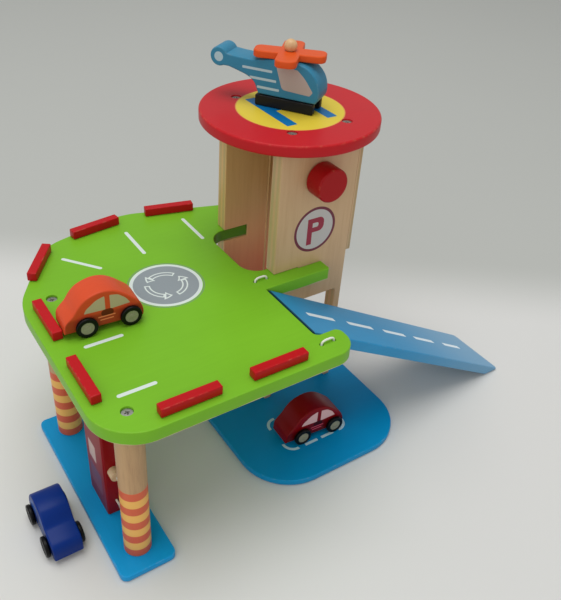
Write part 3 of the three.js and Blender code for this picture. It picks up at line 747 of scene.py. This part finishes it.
def hose():
    """The pump's hose: out of the peg, down in front of the pump and back in at its foot."""
    knots = np.array([
        (0, -8.3, 0), (0, -11.2, -0.3), (0.1, -14.2, -2.1), (0.4, -16.4, -5.6), (0.8, -17.2, -10.2),
        (1.2, -17.1, -15.4), (1.5, -16.6, -20.8), (1.8, -16.1, -26.2), (2.1, -15.5, -31.6),
        (2.4, -14.8, -37), (2.7, -13.5, -42.2), (2.9, -11.2, -46.6), (2.9, -7.9, -48.4), (2.6, -5, -46.6),
        (2, -3.8, -42.6), (1.2, -3.3, -38.8), (0.6, -1.6, -36.6), (0.4, 1.2, -36.3), (0.4, 5, -36.3),
    ]) + (PUMP_PEG_X, PUMP_FRONT, PUMP_PEG_Z)
    path = smooth(knots, 0.8)
    cotton = cord_finish("hose_cotton", (232, 228, 216), (176, 168, 150))
    piece = put("pump_hose_cord", cord_tube(path, (1, 0, 0)), cotton, "pump_hose", crease=70)


def deck_outline():
    """The deck's plan: rim, three tongues, the ramp's notch and the lift's slot."""
    slot, lap, tongue, square = 14.15, 49.8, 11, 0.6
    return rounded([
        (-245, -164, 38), (-35, -164, 18), (-35, -136.2, 6), (-57.5, -136.2, 5), (-57.5, -63.8, square),
        (tongue, -63.8, 2), (tongue, -lap, square), (-slot, -lap, square), (-slot, -37.7, square),
        (-58.5, -37.7, 17), (-58.5, 37.7, 18), (-slot, 37.7, square), (-slot, lap, square),
        (tongue, lap, square), (tongue, 75, 2), (-115, 111, 60), (-200, 88, 45), (-245, 13, 60),
    ], 4)


def boards():
    """Deck, plank, base, the bumper blocks on the deck's rim, and the lift's platform."""
    green = painted("deck_green", (120, 184, 40), (0.07, 1, 1), 0.12, deck_prints_and_painted_shade)
    legs = [(LEG_X, y, 4.8, 4.0) for y in (LEG_NEAR, LEG_FAR)]
    ties = [(DOWEL_X + side * TIE_HALF, y, 2, 6) for y in (TIE_NEAR, TIE_FAR) for side in (-1, 1)]
    deck = board(deck_outline(), DECK_BOTTOM, DECK_TOP, 0.9, legs + ties)
    put("deck_board", deck, green, "deck")
    blue = painted("plank_blue", (16, 152, 214), (1, 0.08, 1), 0.12)
    plank = board(box_plan(-242.5, -195.5, -162, 31, 6), 0, FOOT_BOARD, 1.0)
    put("side_plank_board", plank, blue, "side_plank")
    blue = painted("base_blue", (2, 142, 198), (0.08, 1, 1), 0.12, base_prints)
    plan = rounded([(-101, -154, 48), (62, -154, 48), (62, 58, 12), (-101, 58, 12)], 4)
    put("tower_base_board", board(plan, 0, FOOT_BOARD, 1.0), blue, "tower_base")
    red = painted("block_red", (184, 18, 26), (0.2, 1, 1), 0.15)
    places = {
        "bumper_front_left": (-178.5, -153.5, 0), "bumper_front_right": (-104, -153.5, 0),
        "bumper_left_near": (-234.5, -99, 90), "bumper_left_far": (-233.4, -21, 90),
        "bumper_corner": (-212, 60, 56), "bumper_back_left": (-147.6, 93.7, 7.9),
        "bumper_back_right": (-70.7, 93.5, -12.3),
    }
    for name, (x, y, turn) in places.items():
        shape = board(box_plan(-24, 24, -4, 4, 0.7, 30), 0, 8, 0.9, carry=pose((x, y, ON_DECK), turn))
        put(name + "_block", shape, red, name)
    plan = rounded([(-57.5, -35.5, 17), (39, -35.5, 0.6), (39, 35.5, 0.6), (-57.5, 35.5, 18)], 6)
    platform = board(plan, ON_FOOT, ON_FOOT + 8, 0.9)
    put("lift_platform_board", platform, red, "lift_platform", "lift")


def screw(name, node_name, x, y, top):
    """A countersunk head with a cross recess: a square grid drawn on to the disc.

    (u, v) goes to (u sqrt(1 - v v / 2), v sqrt(1 - u u / 2)) x radius, lowered inside |u| or |v| < the
    slot's half width, where the slot's floor slopes up to its ends. A cone closes the head below.
    """
    radius, shank = 4.2, 29.0
    line = np.r_[-1, -0.8, -0.6, -0.5, -0.3, -0.17, -0.12, -0.05, 0.05, 0.12, 0.17, 0.3, 0.5, 0.6, 0.8, 1]
    u, v = np.meshgrid(line, line, indexing="ij")
    across = np.minimum(np.abs(u), np.abs(v))
    along = np.maximum(np.abs(u), np.abs(v))
    slot = np.clip((0.15 - across) / 0.05, 0, 1) * np.clip((0.5 - along) / 0.1, 0, 1)
    px, py = u * np.sqrt(1 - v**2 / 2), v * np.sqrt(1 - u**2 / 2)
    height = top - 0.12 * (px**2 + py**2) ** 2 - slot * (1.5 - along)
    points = np.stack([x + radius * px, y + radius * py, height], -1).reshape(-1, 3)
    index = np.arange(len(points)).reshape(u.shape)
    faces = np.stack([index[:-1, :-1], index[1:, :-1], index[1:, 1:], index[:-1, 1:]], -1)
    faces = faces.reshape(-1, 4).tolist()
    last = loop = np.r_[index[:-1, 0], index[-1, :-1], index[:0:-1, -1], index[0, :0:-1]]
    for shrink, drop in ((0.985, 0.3), (0.45, 2.6), (0.43, shank)):
        new = np.arange(len(loop)) + len(points)
        lower = (points[loop, :2] - (x, y)) * shrink + (x, y)
        points = np.vstack([points, np.c_[lower, np.full(len(loop), top - drop)]])
        faces += np.stack([last, new, np.roll(new, -1), np.roll(last, -1)], -1).tolist()
        last = new
    faces += fan(last, len(points))
    points = np.vstack([points, [x, y, top - shank - 0.5]])
    grade = np.zeros_like(points)
    grade[:slot.size, 0] = slot.ravel()
    put(name, (points, faces, grade), STEEL, node_name, crease=30)


def legs_and_screws():
    """The two striped legs, and every screw."""
    striped = wooden("leg_wood", (196, 158, 112), (150, 112, 76), (110, 80, 52), (1, 1, 0.06),
                     prints=leg_stripes)
    for name, y in (("front", LEG_NEAR), ("back", LEG_FAR)):
        shape = turned(eased(LEG_RADIUS, ON_FOOT, UNDER_DECK, 0.4), 48, pose((LEG_X, y, 0)))
        put(f"leg_{name}_dowel", shape, striped, f"leg_{name}")
        screw(f"leg_{name}_screw", f"leg_screw_{name}", LEG_X, y, DECK_TOP - 1.5)
    for depth, y in (("near", -PAD_SCREW_Y), ("far", PAD_SCREW_Y)):
        for hand, x in (("left", -PAD_SCREW_X), ("right", PAD_SCREW_X)):
            screw(f"pad_{depth}_{hand}_screw", f"pad_screw_{depth}_{hand}", x, y, PAD_TOP - 1.1)


def tower():
    """The two side walls, the back board and the helicopter pad."""
    half, lap, door, square = WALL_HALF, 13.85, 33, 0.4
    top = [(half, WALL_TOP, square), (-half, WALL_TOP, square), (-half, ON_DECK, square),
           (-lap, ON_DECK, square), (-lap, UNDER_DECK, square), (-half, UNDER_DECK, square)]
    near = rounded([(-half, ON_FOOT, square), (-door, ON_FOOT, square), (-door, 117.5, 3), (door, 117.5, 3),
                    (door, ON_FOOT, square), (half, ON_FOOT, square), *top], 15)
    far = rounded([(-half, ON_FOOT, square), (half, ON_FOOT, square), *top], 15)
    light, dark, along = (216, 178, 134), (202, 160, 116), (1, 1, 0.05)
    ply = wooden("tower_ply", light, dark, (196, 182, 132), along, 1.0, wall_prints)
    # The far wall's finish carries painted red bounce light from the lift's board, low on its inner face.
    plain = wooden("far_ply", (226, 182, 122), (212, 164, 106), (200, 184, 132), along, 1.0, shaft_painted_bounce_light)
    thin = wooden("back_ply", light, dark, (176, 156, 106), along, 1.0)
    back = box_plan(-WALL_OUTER, WALL_OUTER, 159, WALL_TOP, square, 30)
    for name, plan, low, high, edge, turn, wood in (
            ("near", near, WALL_INNER, WALL_OUTER, 0.5, 0, ply),
            ("far", far, -WALL_OUTER, -WALL_INNER, 0.5, 0, plain),
            ("back", back, WALL_HALF + 0.02, 44.3, 0.4, 90, thin)):
        wall = board(plan, low, high, edge, carry=pose(turn=turn, tip=90), steps=2)
        put(f"tower_{name}_wall", wall, wood, f"tower_wall_{name}")
    red = painted("pad_red", (192, 28, 36), (0.15, 1, 1), 0.1, pad_prints)
    wells = [(x, y, 4.6, 3.6) for x in (-PAD_SCREW_X, PAD_SCREW_X) for y in (-PAD_SCREW_Y, PAD_SCREW_Y)]
    round_plan = lambda amount: circle(0, 0, PAD_RADIUS - amount, 144)
    pad = board(round_plan, PAD_BOTTOM, PAD_TOP, 1.8, wells, steps=5)
    put("helipad_board", pad, red, "helipad_disc")


def lift():
    """Axle, knob and the two cords, each cord with a mesh of its own."""
    axis = pose((0, 0, AXLE_Z), tip=90)
    axle = turned(eased(4, -52.5, 62.6, 0.5), 28, axis)
    put("lift_axle_rod", axle, DOWEL_WOOD, "lift_axle", "spool")
    red = painted("knob_red", (168, 16, 20), (1, 0.3, 1), 0.15)
    knob = turned(eased(15, 50, 68.5, 1.8, 5), 64, axis)
    put("lift_knob_turned", knob, red, "lift_knob", "spool")
    cotton = cord_finish("lift_cotton", (226, 184, 128), (196, 156, 104))
    for name, y in (("near", -LIFT_CORD_Y), ("far", LIFT_CORD_Y)):
        z = np.arange(LIFT_CORD_FOOT, AXLE_Z + 0.5, 0.9)
        line = cord_tube(np.stack(np.broadcast_arrays(LIFT_CORD_X, y, z), -1), (1, 0, 0), 12)
        piece = put(f"lift_{name}_line", line, cotton, f"lift_cord_{name}", crease=70)
        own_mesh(piece)


def ramp_shape():
    """Sections (y, z) along x from the upper end to the toe: rounded boxes between underside and top.

    The top falls evenly from the upper end to the toe, the underside is parallel until it meets the
    table, and the groove for the dowel is a circle cut from it. Both ends narrow by quarter circles.
    """
    slope = (RAMP_TOP - RAMP_NOSE) / (RAMP_FOOT - RAMP_START)
    upright = RAMP_THICK * math.hypot(1, slope)
    quarter, toe = np.linspace(0, np.pi / 2, 5), np.linspace(0, np.pi / 2 * 0.98, 12)
    x = np.r_[RAMP_START + 1 - np.cos(quarter), np.linspace(RAMP_START + 1.2, DOWEL_X + 4, 24),
              np.linspace(DOWEL_X + 6, RAMP_FOOT - 25, 60), np.linspace(RAMP_FOOT - 24, RAMP_FOOT - 4.2, 24),
              RAMP_FOOT - 4 * (1 - np.sin(toe))][:, None]
    narrow = np.zeros_like(x)
    narrow[:5, 0] = 1 - np.sin(quarter)
    narrow[-12:, 0] = 4 * (1 - np.cos(toe))
    high = RAMP_TOP - (x - RAMP_START) * slope
    low = np.maximum(high - upright, 0)
    groove = np.sqrt(np.maximum(0, (DOWEL_RADIUS + GAP) ** 2 - (x - DOWEL_X) ** 2))
    low = np.where(groove > 0, np.maximum(low, DOWEL_Z + groove), low)
    high[:5] -= 0.6 * narrow[:5]
    low[:5] += narrow[:5]
    half_width, half_height = (RAMP_FAR - RAMP_NEAR) / 2 - narrow, (high - low) / 2
    radius = np.minimum(1.2, half_height * 0.96)
    angles = np.concatenate([np.linspace(a, a + 0.5, 6) for a in (1, 1.5, 0, 0.5)]) * np.pi
    hand, up = np.repeat([-1, 1, 1, -1], 6), np.repeat([-1, -1, 1, 1], 6)
    y = RAMP_MIDDLE + hand * (half_width - radius) + radius * np.cos(angles)
    z = (high + low) / 2 + up * (half_height - radius) + radius * np.sin(angles)
    grade = np.broadcast_arrays(np.abs(np.sin(2 * angles)), np.abs(np.cos(angles)), z - low)
    return skin(np.stack(np.broadcast_arrays(x, y, z), -1), np.stack(grade, -1))


def ramp_and_ties():
    """The ramp, its dowel and the two cord ties."""
    # The ramp's blue is the plank's and the base's paint, written paler as a painted glancing reflection.
    blue = painted("ramp_blue", (46, 146, 198), (0.08, 1, 0.5), 0.15, ramp_prints_and_painted_light)
    put("ramp_board", ramp_shape(), blue, "ramp", "ramp")
    across = pose((DOWEL_X, 0, DOWEL_Z), tip=90)
    dowel = turned(eased(DOWEL_RADIUS, -TIE_FAR - 8, -TIE_NEAR + 8, 0.5), 28, across)
    put("ramp_dowel_rod", dowel, DOWEL_WOOD, "ramp_dowel", "ramp")
    bottom, crown = DOWEL_Z - DOWEL_RADIUS - 1.3, DECK_TOP + 3
    half = [(0.4, bottom), (3, bottom + 0.25), (5.5, bottom + 2), (TIE_HALF, DOWEL_Z - 1.75),
            (TIE_HALF, DOWEL_Z + 3.5), (TIE_HALF, DECK_TOP - 1.5), (5.3, DECK_TOP + 1.6), (3, crown - 0.2)]
    curve = smooth([*half, (0, crown), *[(-x, z) for x, z in half[::-1]]], 0.8)
    cotton = cord_finish("tie_cotton", (250, 251, 242), (214, 216, 200))
    for name, y in (("near", TIE_NEAR), ("far", TIE_FAR)):
        tie = cord_tube(np.stack(np.broadcast_arrays(DOWEL_X + curve[:, 0], y, curve[:, 1]), -1), (0, 1, 0))
        put(f"ramp_{name}_tie", tie, cotton, f"ramp_tie_{name}", crease=70)


def pump():
    """The fuel pump's post and its wooden peg."""
    red = painted("pump_red", (140, 12, 18), (1, 1, 0.2), 0.1, pump_prints)
    post = board(box_plan(-228.5, -210.5, PUMP_FRONT, -63.3, 2, 15), ON_FOOT, 124.3, 1.0)
    put("pump_post", post, red, "pump_body")
    pale = wooden("peg_wood", (214, 186, 146), (180, 146, 104), (130, 100, 70), (1, 0.1, 1))
    peg = turned(eased(4.7, 83.3, 109.3, 0.8), 36, pose((PUMP_PEG_X, 0, PUMP_PEG_Z), tip=90))
    put("pump_peg_rod", peg, pale, "pump_peg")


def helicopter_outline():
    """Body and tail in one line: smooth runs over the back and under the boom, and an arc round the tail."""
    over = smooth([(27, 9.5), (29.5, 13.5), (30, 19), (28.5, 26), (24.5, 32.5), (18, 37.5), (9, 40),
                   (-2, 40), (-12, 40), (-22, 38.2), (-30, 37.2), (-46, 37.4)], 1.6)
    over[:, 1] = np.minimum(over[:, 1], 40)
    angles = np.radians(np.arange(28, 302, 8))
    tail = np.c_[-61 + 8 * np.cos(angles), 34.3 + 8 * np.sin(angles)]
    under = smooth([(-52, 27.5), (-42, 25), (-33, 22), (-28, 18), (-25.5, 13), (-24, 9.5)], 1.6)
    return np.vstack([over, tail, under])


def helicopter():
    """Body, skids, rotor and the round-headed peg, in the helicopter's own frame."""
    teal = painted("helicopter_blue", (56, 130, 162), (0.1, 1, 1), 0.12, helicopter_prints, HELI_PLACE,
                   HELI_TURN)
    upright = pose(HELI_PLACE, HELI_TURN, 90)
    body = sawn(helicopter_outline(), -22, 0, 1.3, upright)
    put("helicopter_shape", body, teal, "helicopter_body", "helicopter")
    black = painted("skid_black", (26, 27, 29), (0.2, 1, 1), 0.05)
    for name, low in (("near", -5), ("far", -23)):
        skid = board(box_plan(-26, 26, 0, 9, 1, 15), low, low + 6, 0.8, carry=upright)
        put(f"skid_{name}_bar", skid, black, f"skid_{name}", "helicopter")
    hub = pose(HELI_PLACE, HELI_TURN)((-1.4, 11, 0))
    reach, half = 30, 9
    arms = [(c * u - s * v, s * u + c * v, radius) for c, s in ((1, 0), (0, 1), (-1, 0), (0, -1))
            for u, v, radius in ((half, -half, 0.8), (reach, -half, 6), (reach, half, 6))]
    orange = painted("rotor_orange", (218, 84, 28), (0.3, 1, 1), 0.12)
    rotor = board(rounded(arms, 9), 40.3, 46.3, 1.2, carry=pose(hub, HELI_TURN + 13))
    put("rotor_cross", rotor, orange, "rotor", "rotor")
    ball, middle = 5.4, 50.2
    angles = np.linspace(math.acos(2 / 3), np.pi * 0.985, 20)
    profile = np.r_[[[1.2, 20.2], [2.2, 20.2], [2.5, 20.6], [2.5, 46.6]],
                    np.c_[ball * np.sin(angles), middle - ball * np.cos(angles)]]
    pale = wooden("rotor_peg_wood", (222, 180, 130), (190, 146, 98), (140, 104, 70), (1, 1, 0.2))
    peg = turned(np.c_[profile, np.zeros_like(profile)], 36, pose(hub, HELI_TURN))
    put("rotor_peg_turned", peg, pale, "rotor_peg", "helicopter")


# Car outlines, as shares of the length and of the height; panes in millimetres
ROUND_CAR = [
    (0.543, 0.147), (0.527, 0.373), (0.48, 0.48), (0.418, 0.587), (0.355, 0.747), (0.277, 0.88),
    (0.152, 0.973), (0.043, 1), (-0.082, 0.96), (-0.191, 0.853), (-0.301, 0.693), (-0.395, 0.533),
    (-0.441, 0.373), (-0.457, 0.24), (-0.449, 0.12),
]
LONG_CAR = [
    (0.545, 0.16), (0.537, 0.4), (0.49, 0.533), (0.33, 0.627), (0.25, 0.667), (0.134, 0.893), (0.06, 0.973),
    (-0.119, 1), (-0.269, 0.933), (-0.388, 0.72), (-0.44, 0.48), (-0.455, 0.24), (-0.448, 0.12),
]
ROUND_PANES = ([(1.7, 32), (1.7, 19.5), (18.7, 20), (17, 23.5), (8.5, 30)],
               [(-2.3, 31.8), (-9, 30.5), (-15, 25.5), (-18.3, 20), (-2.3, 19)])
LONG_PANES = ([(2, 32), (2, 21.5), (11, 21.5), (8, 28)],
              [(-3, 32), (-11, 32), (-18, 27), (-20.5, 21.5), (-3, 21.5)])
CAR_HEIGHT, AXLE_REACH = 36.5, 17.75
WHEEL_RADIUS, WHEEL_EDGE, WHEEL_INNER, WHEEL_OUTER = 8.75, 1.1, 12.4, 16.0


def wheel_profile():
    """From the inner face over both eased rims to the tyre's edge, a step in and the domed hub."""
    rims = eased(WHEEL_RADIUS, WHEEL_INNER, WHEEL_OUTER, WHEEL_EDGE)[2:-2] * (1, 1, 0, 0)
    face = np.array([[5.7, 0, 0, 0], [5.4, -0.35, 0, 0], [5.2, -0.35, 1, 0], [2.4, -0.35, 1, 0],
                     [2.2, -0.15, 1, 0], [0.6, -0.05, 1, 0]])
    return np.vstack([[[1.0, WHEEL_INNER, 0, 0], [7.6, WHEEL_INNER, 0, 0]], rims,
                      face + (0, WHEEL_OUTER, 0, 0)])


def car(name, outline, panes, length, place, turn, body, glass, pale, wheels, side=(0, 1, 0)):
    """A body sawn from a plank, two steel axles and four turned wheels."""
    # The body colour darkened serves as ink for the hump and as painted shade low on the sides.
    prints = car_prints_and_painted_shade(panes, side, glass, [0.35 * v for v in body], pale)
    finish = painted(f"{name}_paint", body, (0.15, 1, 1), 0.0, prints, place, turn)
    carry = pose(place, turn, 90)
    shape = sawn(smooth(np.array(outline) * (length, CAR_HEIGHT), 1.5), -12, 12, 1.3, carry)
    put(f"{name}_shape", shape, finish, f"{name}_body", name)
    for end, x in (("front", AXLE_REACH), ("rear", -AXLE_REACH)):
        on_axle = lambda points, hub=(x, WHEEL_RADIUS, 0): carry(np.asarray(points) + hub)
        riding = f"{name}_{end}_wheels"
        axle = turned(eased(1.75, -14.4, 14.4, 0.3), 20, on_axle)
        put(f"{name}_{end}_axle_rod", axle, STEEL, f"{name}_axle_{end}", riding)
        for hand, sign in (("left", -1), ("right", 1)):
            wheel = turned(wheel_profile() * (1, sign, 1, 1), 44, on_axle)
            put(f"{name}_{end}_{hand}_wheel_disc", wheel, wheels,
                f"{name}_wheel_{end}_{hand}", riding)


def cars():
    """Three cars, each with its own paint."""
    pale_hub = wheel_finish("wheel_pale_hub", (9, 9, 10), (170, 168, 142), (128, 124, 100))
    dark_hub = wheel_finish("wheel_dark_hub", (8, 8, 9), (26, 25, 24), (16, 15, 15))
    car("orange_car", ROUND_CAR, ROUND_PANES, 64, (-193.9, -38.5, ON_DECK), 177,
        (214, 80, 44), (190, 175, 140), (236, 134, 88), pale_hub)
    car("red_car", ROUND_CAR, ROUND_PANES, 64, (-23.5, -103.6, ON_FOOT), 177,
        (128, 4, 12), (226, 184, 182), (214, 80, 100), pale_hub)
    car("blue_car", LONG_CAR, LONG_PANES, 59.5, (-269.3, -88, 0), -90,
        (0, 42, 120), (20, 80, 160), (20, 80, 160), dark_hub, side=(1, 0, 0))


# Camera, floor, light and world, in metres

def fitted_camera():
    """The photograph's camera: a rotation vector turns right, down and forward into the row frame."""
    spin = Vector(EYE_LEVEL_TURN)
    turn = Matrix.Rotation(spin.length, 3, spin.normalized())
    right, down, ahead = turn.col
    place = Matrix((right, -down, -ahead)).transposed().to_4x4()
    place.translation = Vector(EYE) * MM
    data = bpy.data.cameras.new("photo_camera")
    data.sensor_fit, data.sensor_width = "HORIZONTAL", SENSOR
    data.lens = LENS
    data.shift_x, data.shift_y = SHIFT
    data.clip_start = 0.01
    camera = bpy.data.objects.new("photo_camera", data)
    bpy.context.collection.objects.link(camera)
    camera.matrix_world = place
    bpy.context.scene.camera = camera


def floor():
    """A large pale floor that turns a little greyer and darker far behind the toy."""
    reach, drop = 12.0, 0.0006
    mesh = bpy.data.meshes.new("floor")
    mesh.from_pydata([(x * reach, y * reach, -drop) for x, y in ((-1, -1), (1, -1), (1, 1), (-1, 1))], [],
                     [(0, 1, 2, 3)])
    surface = Surface("floor_paper")
    away = vector("DOT_PRODUCT", surface.where, (0.59, 0.81, 0), out=1)
    mottle = noise(surface.where, 3.0, 3.0)
    shade = blend(rise(away, 0.1, 0.24), (217, 217, 214), (184, 186, 181))
    shade = lay(shade, (196, 198, 194), mottle, 0.12)
    mesh.materials.append(surface.finish(shade, mottle * 0.1 + 0.8, noise(surface.where, 700.0), bump=0.05))
    piece = bpy.data.objects.new("floor", mesh)
    bpy.context.collection.objects.link(piece)


def lamp(name, place, size, power, towards=(-0.05, 0, 0.1)):
    """A soft square lamp that points at the toy."""
    data = bpy.data.lights.new(name, "AREA")
    data.size, data.energy = size, power
    light = bpy.data.objects.new(name, data)
    bpy.context.collection.objects.link(light)
    aim = Vector(towards) - Vector(place)
    light.matrix_world = Matrix.Translation(place) @ aim.to_track_quat("-Z", "Y").to_matrix().to_4x4()


def studio():
    """Soft light from above and an even world, which the camera sees in a tone of its own."""
    lamp("overhead_lamp", (-0.3, 0.15, 3.0), 2.2, 50)
    lamp("front_lamp", (-1.3, -1.0, 1.0), 1.2, 5)
    world = bpy.data.worlds.new("studio")
    bpy.context.scene.world = world
    world.use_nodes = True
    seen_by_camera = node("LightPath", tree=world.node_tree)[0]
    shade = blend(seen_by_camera, (0.46, 0.46, 0.46, 1), (174, 176, 170))
    feed(world.node_tree.nodes["Background"], {"Color": shade, "Strength": 1.0})


fitted_camera()
hose()
boards()
legs_and_screws()
tower()
lift()
ramp_and_ties()
pump()
helicopter()
cars()
floor()
studio()
bpy.context.scene.view_settings.view_transform = "Standard"
